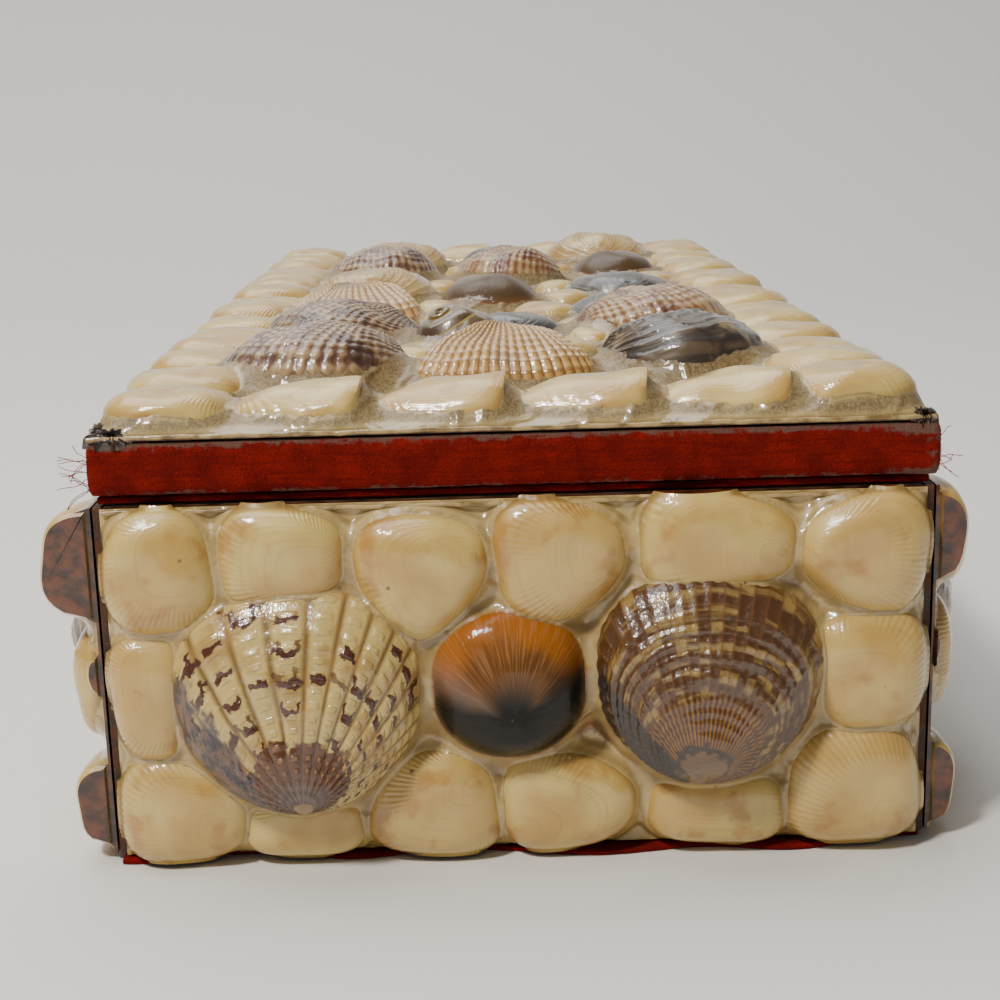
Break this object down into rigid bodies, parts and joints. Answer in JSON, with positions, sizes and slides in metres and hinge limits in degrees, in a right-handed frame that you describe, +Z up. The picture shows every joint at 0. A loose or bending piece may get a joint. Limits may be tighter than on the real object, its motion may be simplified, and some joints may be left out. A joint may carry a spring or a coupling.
{
  "type": "shell box",
  "caption": "Oblong trinket box with a lift-off lid, covered in domed sea shells under clear film, with red velvet edges and lining.",
  "frame": {"origin": "centre of the underside, on the surface that the box stands on", "axes": "+X to the right of the box seen from its short front, +Y along its length away from the front, +Z up through the lid"},
  "size_m": [0.1224, 0.2304, 0.064],
  "materials": {
    "red_velvet": "cut-pile velvet, worn at its edges",
    "grey_board": "plain grey pasteboard",
    "brown_card": "brown card stained with glue",
    "cream_shell": "cream shells under glossy clear film, beige glue between them",
    "spotted_shell": "ribbed cream shell with brown marks under clear film",
    "checked_shell": "brown and white checked shell under clear film",
    "limpet_shell": "orange-brown limpet, dark at its crest, under clear film",
    "cockle_shell": "ribbed cream-tan cockle under dusty clear film",
    "snail_shell": "smooth olive-brown moon snail under clear film",
    "slate_shell": "worn grey clam under dusty clear film"
  },
  "bodies": {
    "root": {"back_card": "brown_card", "back_checked_venus": "checked_shell", "back_cream_shells": "cream_shell", "back_limpet": "limpet_shell", "back_spotted_venus": "spotted_shell", "base_cloth": "red_velvet", "box_tray": "grey_board", "front_card": "brown_card", "front_checked_venus": "checked_shell", "front_cream_shells": "cream_shell", "front_limpet": "limpet_shell", "front_spotted_venus": "spotted_shell", "left_card": "brown_card", "left_checked_venus_3": "checked_shell", "left_checked_venus_7": "checked_shell", "left_cream_shells": "cream_shell", "left_limpet_2": "limpet_shell", "left_limpet_4": "limpet_shell", "left_limpet_6": "limpet_shell", "left_spotted_venus_1": "spotted_shell", "left_spotted_venus_5": "spotted_shell", "lid_board": "grey_board", "lid_lining": "red_velvet", "lid_ribbon": "red_velvet", "right_card": "brown_card", "right_checked_venus_3": "checked_shell", "right_checked_venus_7": "checked_shell", "right_cream_shells": "cream_shell", "right_limpet_2": "limpet_shell", "right_limpet_4": "limpet_shell", "right_limpet_6": "limpet_shell", "right_spotted_venus_1": "spotted_shell", "right_spotted_venus_5": "spotted_shell", "top_blue_grey_clam": "slate_shell", "top_brown_venus": "checked_shell", "top_card": "brown_card", "top_cockle_fan": "cockle_shell", "top_cockle_middle": "cockle_shell", "top_cream_clam_middle": "cream_shell", "top_cream_shells": "cream_shell", "top_dark_clam": "slate_shell", "top_dark_venus": "checked_shell", "top_grey_clam": "slate_shell", "top_grey_clam_back": "slate_shell", "top_large_cream_clam_left": "cream_shell", "top_large_cream_clam_right": "cream_shell", "top_limpet_back": "limpet_shell", "top_limpet_middle": "limpet_shell", "top_moon_snail": "snail_shell", "top_speckled_venus_back": "spotted_shell", "top_speckled_venus_front": "spotted_shell", "top_speckled_venus_middle": "spotted_shell", "top_spotted_venus_middle": "spotted_shell", "tray_lining": "red_velvet"}
  },
  "joints": []
}
